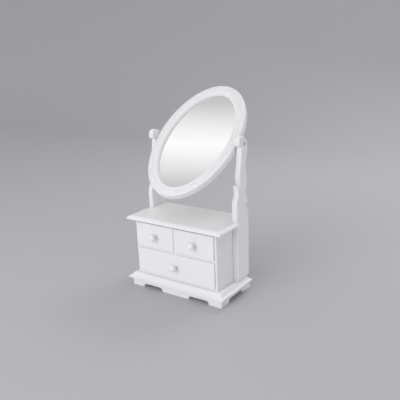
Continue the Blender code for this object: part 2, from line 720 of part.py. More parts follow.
def make_drawer(label, left, right, low, high, opening_low, opening_high, box_left, box_right):
    """One drawer in its own empty, which sits on the slide line at the middle of the drawer's front."""
    prefix = "drawer_" + label
    centre = Vector(((left + right) / 2, -FRONT_PROUD, (low + high) / 2))
    slide = empty(prefix + "_slide", centre)

    def at(x, y, z):
        return (x - centre.x, y - centre.y, z - centre.z)

    front_back = FRONT_THICK - FRONT_PROUD
    name = prefix + "_front"
    front = box(name, at(left, -FRONT_PROUD, low), at(right, front_back, high), lacquer(name))
    bevel(front, FRONT_ROUND, segments=3)
    front.parent = slide

    box_low = opening_low + FIT_GAP
    box_high = opening_high - DRAWER_TOP_CLEARANCE
    side_front = front_back + FIT_GAP
    side_back = BACK_FRONT - DRAWER_BACK_CLEARANCE
    pieces = {}
    for side, outer, inner in (
        ("left", box_left, box_left + DRAWER_SIDE_THICK), ("right", box_right, box_right - DRAWER_SIDE_THICK),
    ):
        name = prefix + "_side_" + side
        across = sorted((outer, inner))
        side_low, side_high = at(across[0], side_front, box_low), at(across[1], side_back, box_high)
        pieces[side] = box(name, side_low, side_high, bare(name), ARRIS)
    inner_left = box_left + DRAWER_SIDE_THICK
    inner_right = box_right - DRAWER_SIDE_THICK
    name = prefix + "_back"
    back_low = at(inner_left + FIT_GAP, side_back - DRAWER_SIDE_THICK, box_low)
    back_high = at(inner_right - FIT_GAP, side_back, box_high)
    pieces["back"] = box(name, back_low, back_high, bare(name), ARRIS)
    groove = GROOVE_DEPTH - FIT_GAP
    floor_low = box_low + DRAWER_BOTTOM_LIFT
    floor_high = floor_low + DRAWER_BOTTOM_THICK
    floor_from = (inner_left - groove, side_front - FIT_GAP - groove, floor_low)
    floor_to = (inner_right + groove, side_back - DRAWER_SIDE_THICK + groove, floor_high)
    name = prefix + "_bottom"
    floor = box(name, at(*floor_from), at(*floor_to), bare(name))
    margin = Vector((FIT_GAP, FIT_GAP, FIT_GAP))
    grooves = cutter_box(prefix + "_grooves", Vector(at(*floor_from)) - margin, Vector(at(*floor_to)) + margin)
    grooves.parent = slide
    floor.parent = slide
    for piece in list(pieces.values()) + [front]:
        piece.parent = slide
        cut(piece, grooves)

    name = prefix + "_knob"
    knob = turned(name, knob_profile(), lacquer(name))
    knob.rotation_euler = (math.pi / 2, 0.0, 0.0)
    knob.location = (0.0, -KNOB_LENGTH - FIT_GAP, 0.0)
    knob.parent = slide
    smooth(knob, 50.0)

    head, shank = KNOB_SCREW_HEAD_RADIUS, KNOB_SCREW_RADIUS
    tip = KNOB_SCREW_BITE
    head_top = -FRONT_THICK - FIT_GAP
    head_end = head_top - KNOB_SCREW_HEAD_HEIGHT
    screw_line = [(0.0, tip), (shank, tip), (shank, head_top), (head, head_top), (head, head_end), (0.0, head_end)]
    name = prefix + "_knob_screw"
    screw = turned(name, screw_line, steel(name), steps=SMALL_STEPS)
    screw.rotation_euler = (math.pi / 2, 0.0, 0.0)
    screw.parent = slide
    smooth(screw)
    wide, hole_in, hole_end = shank + FIT_GAP, tip + FIT_GAP, -FRONT_THICK - OVERRUN
    hole_line = [(0.0, hole_in), (wide, hole_in), (wide, hole_end), (0.0, hole_end)]
    hole = as_cutter(turned(prefix + "_screw_hole", hole_line, None, CUTTERS, SMALL_STEPS))
    hole.rotation_euler = (math.pi / 2, 0.0, 0.0)
    hole.parent = slide
    cut(front, hole)
    cut(knob, hole)


def make_drawers():
    outer = CASE_INNER_HALF - FRONT_REVEAL
    box_outer = CASE_INNER_HALF - DRAWER_SIDE_CLEARANCE
    box_inner = DIVIDER_THICK / 2 + DRAWER_SIDE_CLEARANCE
    reveal = FRONT_REVEAL
    upper = (SHELF_HIGH + reveal, TOP_RAIL_LOW - reveal, SHELF_HIGH, TOP_RAIL_LOW)
    lower = (FLOOR_BOARD_HIGH + reveal, SHELF_LOW - reveal, FLOOR_BOARD_HIGH, SHELF_LOW)
    middle = FRONT_MIDDLE_GAP / 2
    make_drawer("upper_left", -outer, -middle, *upper, -box_outer, -box_inner)
    make_drawer("upper_right", middle, outer, *upper, box_inner, box_outer)
    make_drawer("lower", -outer, outer, *lower, -box_outer, box_outer)


def main():
    side_front = make_aprons()
    make_corner_blocks(side_front)
    make_base()
    sides = make_case()
    make_top()
    uprights = make_uprights()
    make_upright_screws(sides, uprights)
    pivot, frame = make_mirror()
    make_pivots(pivot, frame, uprights)
    make_drawers()


main()
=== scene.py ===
# %% [markdown]
# # A white vanity chest with a tilting oval mirror
# The object is a small lacquered chest with a mirror on top. Its measured solids come in as a fixed frame,
# already at their real size and place in metres. This lesson gives them their looks, and puts finer pieces
# over the forms that catch the eye: the carved oval frame, the scroll uprights, the drawer fronts and the knobs.

# %% Load the frame
import math

import bmesh
import bpy
from mathutils import Matrix, Vector
from mathutils.geometry import interpolate_bezier
from mathutils.kdtree import KDTree


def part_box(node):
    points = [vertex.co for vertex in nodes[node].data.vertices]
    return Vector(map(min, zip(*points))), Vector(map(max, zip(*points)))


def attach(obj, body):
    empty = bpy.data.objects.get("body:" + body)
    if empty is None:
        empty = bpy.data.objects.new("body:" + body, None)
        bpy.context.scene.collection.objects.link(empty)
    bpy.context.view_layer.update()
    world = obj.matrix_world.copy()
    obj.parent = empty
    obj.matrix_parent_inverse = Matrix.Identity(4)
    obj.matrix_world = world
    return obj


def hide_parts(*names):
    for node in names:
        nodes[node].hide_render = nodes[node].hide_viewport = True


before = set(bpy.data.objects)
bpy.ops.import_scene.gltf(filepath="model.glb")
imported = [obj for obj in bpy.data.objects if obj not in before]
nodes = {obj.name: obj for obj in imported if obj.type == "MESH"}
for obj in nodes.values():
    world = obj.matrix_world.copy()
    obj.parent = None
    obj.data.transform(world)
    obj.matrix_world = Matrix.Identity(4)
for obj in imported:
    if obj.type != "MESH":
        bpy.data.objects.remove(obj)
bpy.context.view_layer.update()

# %% [markdown]
# ## Camera
# The picture was taken from the front right, a little above the mirror. Its straight edges give the place, the
# turn and the lens, so the camera is written down as those few numbers.

# %% Camera
CAMERA_PLACE = Vector((0.82042, -1.04184, 0.65986))
CAMERA_YAW = math.radians(35.18)
CAMERA_PITCH = math.radians(-16.74)
CAMERA_ROLL = math.radians(-2.26)
LENS, SENSOR_WIDTH = 48.79, 36.0

camera_data = bpy.data.cameras.new("camera")
camera_data.sensor_width = SENSOR_WIDTH
camera_data.lens = LENS
camera = bpy.data.objects.new("camera", camera_data)
bpy.context.scene.collection.objects.link(camera)
bpy.context.scene.camera = camera

forward = Vector((
    -math.sin(CAMERA_YAW) * math.cos(CAMERA_PITCH),
    math.cos(CAMERA_YAW) * math.cos(CAMERA_PITCH),
    math.sin(CAMERA_PITCH),
))
level_right = forward.cross(Vector((0.0, 0.0, 1.0))).normalized()
level_up = level_right.cross(forward)
right = level_right * math.cos(CAMERA_ROLL) + level_up * math.sin(CAMERA_ROLL)
up = level_up * math.cos(CAMERA_ROLL) - level_right * math.sin(CAMERA_ROLL)
turn = Matrix((right, up, -forward)).transposed()
camera.matrix_world = Matrix.Translation(CAMERA_PLACE) @ turn.to_4x4()
print("camera looks along", [round(v, 3) for v in forward])

# %% [markdown]
# ## Helpers for node trees
# Light and finishes are both made of nodes wired together. Three short helpers keep that readable: one adds a node
# with its settings, one joins two sockets, and one makes a colour ramp from a few stops.

# %% Node helpers
def add(tree, kind, **values):
    """A node with its properties, and its sockets by name."""
    made = tree.nodes.new(kind)
    for key, value in values.items():
        if hasattr(made, key):
            setattr(made, key, value)
        else:
            made.inputs[key.replace("_", " ")].default_value = value
    return made


def wire(source, target):
    source.id_data.links.new(source, target)


def ramp(tree, factor, stops, interpolation="EASE"):
    """The colour of a ramp from (place, grey or colour) stops, at a factor."""
    made = add(tree, "ShaderNodeValToRGB")
    made.color_ramp.interpolation = interpolation
    items = made.color_ramp.elements
    while len(items) < len(stops):
        items.new(1.0)
    for item, (place, colour) in zip(items, stops):
        item.position = place
        colour = (colour,) * 3 if isinstance(colour, float) else colour
        item.color = (*colour, 1.0)
    wire(factor, made.inputs["Fac"])
    return made.outputs["Color"]


print("node helpers ready")

# %% [markdown]
# ## Room light
# The chest is white on a pale ground, so the light has to be soft and never strong enough to clip. The world gives
# an even fill. Only reflections see in it a soft bright band overhead between two greyer parts, like a ceiling with
# a light panel: that band is what the tilted mirror shows. Past the ground, the camera sees a plain white backdrop.

# %% World
FILL = (0.785, 0.785, 0.800, 1.0)
BACKDROP = (0.90, 0.90, 0.91, 1.0)
CEILING_STRENGTH = 1.05
CEILING_FROM, CEILING_TO = -0.20, 0.04
CEILING_TONES = [
    (0.0, 0.36), (0.21, 0.63), (0.30, 0.775), (0.40, 0.91), (0.50, 0.995),
    (0.60, 0.90), (0.70, 0.76), (0.80, 0.59), (0.86, 0.54), (1.0, 0.46),
]

world = bpy.data.worlds.new("studio")
world.use_nodes = True
bpy.context.scene.world = world
bpy.context.scene.view_settings.view_transform = "Standard"
tree = world.node_tree
tree.nodes.clear()

split = add(tree, "ShaderNodeSeparateXYZ")
wire(add(tree, "ShaderNodeTexCoord").outputs["Generated"], split.inputs[0])
across_band = add(tree, "ShaderNodeMapRange", From_Min=CEILING_FROM, From_Max=CEILING_TO)
wire(split.outputs["Y"], across_band.inputs["Value"])
fill = add(tree, "ShaderNodeBackground", Strength=1.0, Color=FILL)
backdrop = add(tree, "ShaderNodeBackground", Strength=1.0, Color=BACKDROP)
ceiling = add(tree, "ShaderNodeBackground", Strength=CEILING_STRENGTH)
wire(ramp(tree, across_band.outputs["Result"], CEILING_TONES, "LINEAR"), ceiling.inputs["Color"])

light_path = add(tree, "ShaderNodeLightPath")
lit_or_mirrored = add(tree, "ShaderNodeMixShader")
wire(light_path.outputs["Is Glossy Ray"], lit_or_mirrored.inputs["Fac"])
wire(fill.outputs[0], lit_or_mirrored.inputs[1])
wire(ceiling.outputs[0], lit_or_mirrored.inputs[2])
unseen_or_seen = add(tree, "ShaderNodeMixShader")
wire(light_path.outputs["Is Camera Ray"], unseen_or_seen.inputs["Fac"])
wire(lit_or_mirrored.outputs[0], unseen_or_seen.inputs[1])
wire(backdrop.outputs[0], unseen_or_seen.inputs[2])
wire(unseen_or_seen.outputs[0], add(tree, "ShaderNodeOutputWorld").inputs["Surface"])
print("world fill", FILL[:3])

# %% [markdown]
# One large soft lamp stands in front, a little to the left and above. It makes the fronts and the leaning mirror
# frame the brightest faces, leaves the right side darker, and lays the knobs' soft shadows to their right. A smaller
# one behind lights only what faces up or back, such as the top board, which the leaning mirror shades. Both are
# big for their distance, so that shadows have wide soft edges.

# %% Lamps
CHEST_MIDDLE = Vector((0.0, 0.05, 0.22))


def soft_lamp(name, place, size, power):
    """A round lamp aimed at the middle of the chest. Its size is its width in metres, its power is in watts."""
    data = bpy.data.lights.new(name, "AREA")
    data.shape = "DISK"
    data.size = size
    data.energy = power
    lamp = bpy.data.objects.new(name, data)
    lamp.location = place
    lamp.rotation_euler = (CHEST_MIDDLE - Vector(place)).to_track_quat("-Z", "Y").to_euler()
    bpy.context.scene.collection.objects.link(lamp)
    print(name, power, "W at", place)


soft_lamp("key_lamp", (-0.35, -2.05, 1.10), 1.8, 19.0)
soft_lamp("back_lamp", (0.35, 1.80, 1.65), 1.3, 13.5)

# %% [markdown]
# ## Ground
# A plain pale sheet that curves up behind, as photographers use. It is only the stage, not part of the chest. The
# camera and the mirror see it darker than it is, so that the white chest stands out, while the light that it throws
# up under the mouldings stays soft and bright.

# %% Ground sheet
GROUND_HALF, GROUND_FRONT, GROUND_BACK = 6.0, -6.0, 3.2
SWEEP_RADIUS, SWEEP_STEPS, SHEET_HIGH = 1.4, 12, 4.0

section = [(GROUND_FRONT, 0.0), (GROUND_BACK - SWEEP_RADIUS, 0.0)]
for i in range(1, SWEEP_STEPS + 1):
    angle = math.pi / 2 * i / SWEEP_STEPS
    section.append((
        GROUND_BACK - SWEEP_RADIUS + SWEEP_RADIUS * math.sin(angle), SWEEP_RADIUS - SWEEP_RADIUS * math.cos(angle),
    ))
section.append((GROUND_BACK, SHEET_HIGH))

ground_form = bmesh.new()
rows = [[ground_form.verts.new((x, y, z)) for y, z in section] for x in (-GROUND_HALF, GROUND_HALF)]
for i in range(len(section) - 1):
    ground_form.faces.new((rows[0][i], rows[1][i], rows[1][i + 1], rows[0][i + 1]))
ground_mesh = bpy.data.meshes.new("ground")
ground_form.to_mesh(ground_mesh)
ground_form.free()
ground_mesh.shade_smooth()
ground = bpy.data.objects.new("ground", ground_mesh)
bpy.context.scene.collection.objects.link(ground)
print("ground reaches", GROUND_BACK, "m behind")

# %% [markdown]
# Every finish starts from the same node, the principled shader, which can be paint, wood, metal or nylon. The
# sheet is the simplest case: a matt paper whose colour is chosen by who looks at it.

# %% Ground paper
SHEET_BOUNCE = (0.66, 0.66, 0.67, 1.0)
SHEET_SEEN = (0.45, 0.45, 0.465, 1.0)


def new_material(name, roughness, metallic=0.0):
    """A material with its shader, its node tree and the place of each point on the piece."""
    made = bpy.data.materials.new(name)
    made.use_nodes = True
    tree = made.node_tree
    shader = tree.nodes["Principled BSDF"]
    shader.inputs["Roughness"].default_value = roughness
    shader.inputs["Metallic"].default_value = metallic
    return made, shader, tree, add(tree, "ShaderNodeTexCoord").outputs["Object"]


ground_paint, shader, tree, _ = new_material("ground_paper", 0.6)
seen_by = add(tree, "ShaderNodeLightPath")
seen_or_mirrored = add(tree, "ShaderNodeMath", operation="MAXIMUM")
wire(seen_by.outputs["Is Camera Ray"], seen_or_mirrored.inputs[0])
wire(seen_by.outputs["Is Glossy Ray"], seen_or_mirrored.inputs[1])
sheet_tone = add(tree, "ShaderNodeMix", data_type="RGBA", A=SHEET_BOUNCE, B=SHEET_SEEN)
wire(seen_or_mirrored.outputs[0], sheet_tone.inputs["Factor"])
wire(sheet_tone.outputs["Result"], shader.inputs["Base Color"])
shader.inputs["Specular IOR Level"].default_value = 0.2
ground_mesh.materials.append(ground_paint)
print("ground tone:", SHEET_SEEN[:3])

# %% [markdown]
# ## Grain, spots and bumps
# The finishes are built from noise measured in metres, so that their marks have a real size. Drawing the noise out
# along one axis turns spots into grain lines, and a bump node turns either into fine relief.

# %% Noise and bump helpers
DRAWN_OUT = 0.05
ALONG = {"x": (DRAWN_OUT, 1.0, 1.0), "y": (1.0, DRAWN_OUT, 1.0), "z": (1.0, 1.0, DRAWN_OUT)}
EVEN = (1.0, 1.0, 1.0)


def noise(tree, coords, scale, detail=3.0, rough=0.5, stretch=EVEN):
    """Noise with scale features to the metre. A small number in stretch draws it out along that axis."""
    mapping = add(tree, "ShaderNodeMapping", Scale=stretch)
    wire(coords, mapping.inputs["Vector"])
    made = add(tree, "ShaderNodeTexNoise", Scale=scale, Detail=detail, Roughness=rough)
    wire(mapping.outputs[0], made.inputs["Vector"])
    return made.outputs["Fac"]


def bump_from(tree, height, strength, distance, normal=None):
    made = add(tree, "ShaderNodeBump", Strength=strength, Distance=distance)
    wire(height, made.inputs["Height"])
    if normal:
        wire(normal, made.inputs["Normal"])
    return made.outputs["Normal"]


print("grain runs along", sorted(ALONG))

# %% [markdown]
# ## White lacquer
# The boards are sprayed with a satin white lacquer. Up close it isn't one flat white: the tone drifts a little, the
# grain of the board shows through as long shallow lines, and the spray leaves a very fine skin like orange peel.
# The same recipe serves every board, with the grain turned to run along the piece. On the handled and carved pieces
# sharp edges are a little rubbed, and the hollows of the carving are greyer: partly dust that stays where the spray
# is thin, partly painted shade that deepens the relief. Both follow the pointiness of the mesh, so they are used only
# where the mesh is dense.

# %% Rubbed edges, and hollows greyed with dust and painted shade
WOOD_SHOWING = (0.62, 0.60, 0.57, 1.0)
# The grey for the hollows stands for dust and also for painted shade in them.
DUST_AND_SHADE = (0.36, 0.35, 0.35, 1.0)


def mixed_with(tree, finish, factor, colour):
    made = add(tree, "ShaderNodeMix", data_type="RGBA", B=colour)
    wire(factor, made.inputs["Factor"])
    wire(finish, made.inputs["A"])
    return made.outputs["Result"]


def rubbed_edges(tree, coords, finish, rub):
    """Wood shows through by the share rub, in patches along sharp edges."""
    pointiness = add(tree, "ShaderNodeNewGeometry").outputs["Pointiness"]
    worn = add(tree, "ShaderNodeMath", operation="MULTIPLY")
    wire(ramp(tree, pointiness, [(0.54, 0.0), (0.62, 1.0)], "LINEAR"), worn.inputs[0])
    wire(ramp(tree, noise(tree, coords, 60.0, 4.0), [(0.52, 0.0), (0.68, rub)], "LINEAR"), worn.inputs[1])
    return mixed_with(tree, finish, worn.outputs[0], WOOD_SHOWING)


def dusty_and_shaded_hollows(tree, finish, hollow):
    """Recesses are greyed by the share hollow: partly dust, partly painted shade that deepens the carving."""
    pointiness = add(tree, "ShaderNodeNewGeometry").outputs["Pointiness"]
    # Painted shade: the hollows darken by pointiness, as shade would fall in them, together with dust.
    return mixed_with(tree, finish, ramp(tree, pointiness, [(0.43, hollow), (0.50, 0.0)], "LINEAR"), DUST_AND_SHADE)


print("edge and hollow helpers ready")

# %% White lacquer
LACQUER = (0.81, 0.81, 0.825)
LACQUER_DIM = tuple(v * 0.990 for v in LACQUER)
SATIN_FROM, SATIN_TO = 0.31, 0.39
DRIFT_SCALE, SATIN_SCALE, GRAIN_SCALE, PEEL_SCALE = 9.0, 45.0, 420.0, 1400.0


def white_lacquer(name, grain, rub=0.0, hollow=0.0):
    made, shader, tree, coords = new_material(name, 0.34)
    finish = ramp(tree, noise(tree, coords, DRIFT_SCALE, 3.0), [(0.30, LACQUER_DIM), (0.70, LACQUER)])
    if rub:
        finish = rubbed_edges(tree, coords, finish, rub)
    if hollow:
        finish = dusty_and_shaded_hollows(tree, finish, hollow)
    wire(finish, shader.inputs["Base Color"])

    satin = add(tree, "ShaderNodeMapRange", To_Min=SATIN_FROM, To_Max=SATIN_TO)
    wire(noise(tree, coords, SATIN_SCALE, 4.0), satin.inputs["Value"])
    wire(satin.outputs["Result"], shader.inputs["Roughness"])
    grain_lines = bump_from(tree, noise(tree, coords, GRAIN_SCALE, 2.0, 0.6, ALONG[grain]), 0.10, 0.0004)
    peel = bump_from(tree, noise(tree, coords, PEEL_SCALE, 1.0), 0.06, 0.0002, grain_lines)
    wire(peel, shader.inputs["Normal"])
    shader.inputs["Specular IOR Level"].default_value = 0.35
    shader.inputs["Coat Weight"].default_value = 0.08
    shader.inputs["Coat Roughness"].default_value = 0.18
    return made


lacquer_x = white_lacquer("lacquer_grain_across", "x")
lacquer_y = white_lacquer("lacquer_grain_deep", "y")
lacquer_z = white_lacquer("lacquer_grain_upright", "z")
lacquer_turned = white_lacquer("lacquer_turned", "y", rub=0.25)
# hollow=0.55 greys the carving's hollows with dust and painted shade.
lacquer_carved = white_lacquer("lacquer_carved", "x", rub=0.25, hollow=0.55)
print("lacquers:", lacquer_x.name, lacquer_y.name, lacquer_z.name, lacquer_turned.name, lacquer_carved.name)

# %% [markdown]
# ## Bare wood and board
# Inside the drawers and underneath, nothing is painted. The drawer boxes are a pale pine, and the thin floors and
# backs are pressed brown board with short fibres. Pine's year rings are a wave pattern bent by noise, drawn out
# along the board in the same way as the grain lines.

# %% Bare wood and pressed board
PINE_LIGHT, PINE_DARK = (0.66, 0.50, 0.32), (0.55, 0.395, 0.235)
BOARD_DARK, BOARD_LIGHT = (0.27, 0.17, 0.10), (0.40, 0.27, 0.165)
RINGS_RISE = {"x": "Z", "y": "Z", "z": "X"}


def bare_pine(name, grain):
    made, shader, tree, coords = new_material(name, 0.62)
    mapping = add(tree, "ShaderNodeMapping", Scale=ALONG[grain])
    wire(coords, mapping.inputs["Vector"])
    rings = add(
        tree, "ShaderNodeTexWave", bands_direction=RINGS_RISE[grain],
        Scale=21.0, Distortion=9.0, Detail=3.0, Detail_Scale=0.8,
    )
    wire(mapping.outputs[0], rings.inputs["Vector"])
    wire(ramp(tree, rings.outputs["Fac"], [(0.15, PINE_LIGHT), (0.85, PINE_DARK)]), shader.inputs["Base Color"])
    fibres = noise(tree, coords, 900.0, 2.0, 0.6, ALONG[grain])
    wire(bump_from(tree, fibres, 0.25, 0.0005), shader.inputs["Normal"])
    return made


def pressed_board(name):
    made, shader, tree, coords = new_material(name, 0.8)
    fibres = noise(tree, coords, 520.0, 6.0, 0.75)
    wire(ramp(tree, fibres, [(0.3, BOARD_DARK), (0.7, BOARD_LIGHT)]), shader.inputs["Base Color"])
    wire(bump_from(tree, fibres, 0.3, 0.0004), shader.inputs["Normal"])
    return made


pine_x = bare_pine("pine_grain_across", "x")
pine_y = bare_pine("pine_grain_deep", "y")
brown_board = pressed_board("pressed_board")
print("woods:", pine_x.name, pine_y.name, brown_board.name)

# %% [markdown]
# ## Metal and nylon
# The screws are bright zinc with a fine tarnish, the inserts plain brass, and the spacers nylon. A metal is the same
# shader with its metallic value at 1. A drift of tone and a very fine bump keep it from looking like a mirror.

# %% Metal and nylon
def plated_metal(name, colour, rough):
    made, shader, tree, coords = new_material(name, rough, 1.0)
    tarnished = tuple(v * 0.8 for v in colour)
    tone = ramp(tree, noise(tree, coords, 300.0, 4.0), [(0.3, tarnished), (0.7, colour)])
    wire(tone, shader.inputs["Base Color"])
    wire(bump_from(tree, noise(tree, coords, 2500.0, 2.0), 0.12, 0.0002), shader.inputs["Normal"])
    return made


zinc = plated_metal("bright_zinc", (0.60, 0.60, 0.62), 0.3)
brass = plated_metal("turned_brass", (0.75, 0.58, 0.27), 0.28)

nylon, shader, tree, coords = new_material("white_nylon", 0.45)
milky = ramp(tree, noise(tree, coords, 200.0), [(0.3, (0.74, 0.74, 0.71)), (0.7, (0.82, 0.82, 0.80))])
wire(milky, shader.inputs["Base Color"])
print("metals:", zinc.name, brass.name, "and", nylon.name)

# %% [markdown]
# ## Silvered glass
# The mirror is silvered behind its glass. As a surface it is a metal with almost no roughness and a nearly neutral
# tone, with a very slight waviness, as thin glass has.

# %% Silvered glass
silver, shader, tree, coords = new_material("silvered_glass", 0.015, 1.0)
silver_tone = ramp(tree, noise(tree, coords, 14.0), [(0.3, (0.930, 0.932, 0.935)), (0.7, (0.950, 0.952, 0.955))])
wire(silver_tone, shader.inputs["Base Color"])
wire(bump_from(tree, noise(tree, coords, 18.0, 1.0), 0.02, 0.0003), shader.inputs["Normal"])
print("mirror:", silver.name)

# %% [markdown]
# ## Finishes on the measured boards
# Most boards have the right shape already. They only take their finish, a smooth shading across their rounded
# edges, and normals weighted by face size so that flat faces stay flat.

# %% Dress the boards
FINISHES = {
    "side_panel_left": lacquer_z, "side_panel_right": lacquer_z, "drawer_divider": lacquer_z,
    "bottom_board": lacquer_x, "drawer_shelf": lacquer_x, "top_rail": lacquer_x, "base_board": lacquer_x,
    "top_board": lacquer_x, "apron_front": lacquer_x, "apron_back": lacquer_x,
    "apron_left": lacquer_y, "apron_right": lacquer_y, "upright_left": lacquer_z, "upright_right": lacquer_z,
    "mirror_frame": lacquer_x, "mirror_glass": silver, "mirror_backing": brown_board, "back_panel": brown_board,
}
SHARP_EDGE = math.radians(40.0)


def finish_for(name):
    if name in FINISHES:
        return FINISHES[name]
    if "screw" in name or name.startswith("pivot_bolt"):
        return zinc
    if name.startswith("pivot_insert"):
        return brass
    if name.startswith("pivot_spacer"):
        return nylon
    if name.startswith("corner_block"):
        return pine_x
    if name.endswith("_front") or name.endswith("_knob"):
        return lacquer_x
    if name.endswith("_bottom"):
        return brown_board
    return pine_y if "_side_" in name else pine_x


for name, piece in nodes.items():
    piece.data.materials.clear()
    piece.data.materials.append(finish_for(name))
    piece.data.shade_smooth()
    soften = piece.modifiers.new("weighted_normals", "WEIGHTED_NORMAL")
    soften.keep_sharp = True
    piece.data.set_sharp_from_angle(angle=SHARP_EDGE)
print("dressed", len(nodes), "nodes")

# %% [markdown]
# ## Helpers for the finer pieces
# A finer piece stands for one measured solid, so it has the same place and reach. It is made as a mesh in the
# frame's own coordinates, it rides the body that the solid rides, and it takes that solid's place in the picture.

# %% Mesh and body helpers
MERGE_WITHIN = 0.000004


def piece_from(name, verts, faces, material, sharp_from=40.0):
    """A smooth-shaded mesh piece from points and faces, with the faces turned outwards."""
    mesh = bpy.data.meshes.new(name)
    mesh.from_pydata([tuple(v) for v in verts], [], faces)
    form = bmesh.new()
    form.from_mesh(mesh)
    bmesh.ops.remove_doubles(form, verts=form.verts, dist=MERGE_WITHIN)
    bmesh.ops.dissolve_degenerate(form, edges=form.edges, dist=MERGE_WITHIN)
    bmesh.ops.recalc_face_normals(form, faces=form.faces)
    form.to_mesh(mesh)
    form.free()
    mesh.materials.append(material)
    mesh.shade_smooth()
    mesh.set_sharp_from_angle(angle=math.radians(sharp_from))
    piece = bpy.data.objects.new(name, mesh)
    bpy.context.scene.collection.objects.link(piece)
    return piece


def stand_in(piece, body, solid):
    """The piece moves with its body and is shown in place of the measured solid."""
    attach(piece, body)
    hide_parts(solid)


print("piece helpers ready")

# %% [markdown]
# Nearly every finer piece is a loft: a skin over rings that all have the same count of points. Caps close its two
# ends. A smooth line through a few points gives the rings their radii or depths.

# %% Loft helpers
def loft(rings, closed=False, capped=False):
    """Points and faces of a skin over the rings. Closed joins the last ring to the first."""
    count = len(rings[0])
    verts = [point for ring in rings for point in ring]
    faces = []
    spans = len(rings) if closed else len(rings) - 1
    for row in range(spans):
        low, high = row * count, ((row + 1) % len(rings)) * count
        for i in range(count):
            k = (i + 1) % count
            faces.append((low + i, low + k, high + k, high + i))
    if capped:
        faces += [tuple(range(count)), tuple(range(len(verts) - count, len(verts)))]
    return verts, faces


def soft_line(points, steps):
    """A smooth line through the points, ending at the first and the last of them."""
    ends = [points[0]] + list(points) + [points[-1]]
    line = []
    for a, b, c, d in zip(ends, ends[1:], ends[2:], ends[3:]):
        for i in range(steps):
            t = i / steps
            line.append(tuple(
                0.5 * (2 * q + (r - p) * t + (2 * p - 5 * q + 4 * r - s) * t * t + (3 * q - p - 3 * r + s) * t ** 3)
                for p, q, r, s in zip(a, b, c, d)
            ))
    line.append(tuple(points[-1]))
    return line


def circle(count):
    return [(math.cos(math.tau * i / count), math.sin(math.tau * i / count)) for i in range(count)]


print("loft helpers ready")

# %% [markdown]
# ## Carved mirror frame: the oval
# The frame is an oval ring with a carved band. From the outside in it has a round bead at the rim, a band of low
# relief between two small grooves, and a plain moulding that falls to the glass. Every line of it runs at a fixed
# distance from the edge. So the ring is a loft: the same section, moved inwards square to the edge of the oval.
# A relief only a millimetre high would be lost in a coarse mesh, so the steps are many and evenly spaced.

# %% The oval and its even steps
PIVOT = Vector((0.0, 0.1206, 0.3989))
LEAN = math.radians(48.76)
OVAL_WIDE, OVAL_TALL = 0.1270, 0.1857
FRAME_FRONT, FRAME_BACK = -0.0095, 0.0095
BAND_MIDDLE = 0.0125
OVAL_STEPS = 1320
mirror_place = Matrix.Translation(PIVOT) @ Matrix.Rotation(-LEAN, 4, "X")


def oval_point(angle, inset):
    """Across and up, at a distance in from the edge of the oval. Angle 0 is the top."""
    across, up = math.sin(angle), math.cos(angle)
    out = Vector((across / OVAL_WIDE, up / OVAL_TALL)).normalized()
    return OVAL_WIDE * across - inset * out.x, OVAL_TALL * up - inset * out.y


fine = 4 * OVAL_STEPS
lengths = [0.0]
before = Vector(oval_point(0.0, BAND_MIDDLE))
for i in range(1, fine + 1):
    here = Vector(oval_point(math.tau * i / fine, BAND_MIDDLE))
    lengths.append(lengths[-1] + (here - before).length)
    before = here
BAND_LENGTH = lengths[-1]
angles = []
k = 0
for i in range(OVAL_STEPS):
    wanted = BAND_LENGTH * i / OVAL_STEPS
    while lengths[k + 1] < wanted:
        k += 1
    share = (wanted - lengths[k]) / (lengths[k + 1] - lengths[k])
    angles.append(math.tau * (k + share) / fine)
print("band is", round(BAND_LENGTH, 4), "m round, in", OVAL_STEPS, "steps")

# %% [markdown]
# ## Carved mirror frame: the running scroll
# The ornament is a plain running scroll, as on countless frames. It is drawn once as strokes: points along the band
# and across it, each with a half width and a height. A leaf is a stroke that swells in its middle.

# %% Stroke helpers
THINNEST = 0.00025
LEAF_STEPS, LEAF_HIGH = 14, 0.00085
strokes = []


def stroke(points, wide, height, taper=0.0, swell=False):
    """Adds a raised line. It narrows by taper towards its end, or swells in its middle as a leaf does."""
    last = len(points) - 1
    for i, (along, across) in enumerate(points):
        share = i / last
        size = math.sin(math.pi * (0.08 + 0.92 * share)) ** 0.8 if swell else 1.0 - taper * share
        strokes.append((along, across, max(wide * size, THINNEST), height * (0.45 + 0.55 * size)))


def leaf(along, across, heading, length, wide, bend=0.0):
    """A leaf from its foot, turning by bend radians on its way."""
    points = [(along, across)]
    for i in range(LEAF_STEPS):
        turn = heading + bend * i / LEAF_STEPS
        along += length / LEAF_STEPS * math.cos(turn)
        across += length / LEAF_STEPS * math.sin(turn)
        points.append((along, across))
    stroke(points, wide, LEAF_HIGH, swell=True)


def berry(along, across, wide, height):
    stroke([(along, across), (along + 0.0002, across)], wide, height)


print("stroke helpers ready")

# %% [markdown]
# A stem waves along the band. Each hollow of the wave holds a curl that ends in a berry, and small leaves grow
# outwards at each crossing. Both sides start from a leaf spray at the top and meet at another one at the bottom,
# so only one half is drawn.

# %% Draw the scroll
WAVES = 8
HALF_BAND = BAND_LENGTH / 2
END_LEAF = 0.0135
WAVE = (HALF_BAND - 2 * END_LEAF) / WAVES
SWING = 0.0036
STEM_STEPS, CURL_STEPS = 90, 80
CURL_OUTER, CURL_INNER = 0.0049, 0.0011

stem = []
for i in range(WAVES * STEM_STEPS + 1):
    along = END_LEAF + WAVE * i / STEM_STEPS
    stem.append((along, SWING * math.sin(math.tau * (along - END_LEAF) / WAVE)))
stroke(stem, 0.00095, 0.0008)

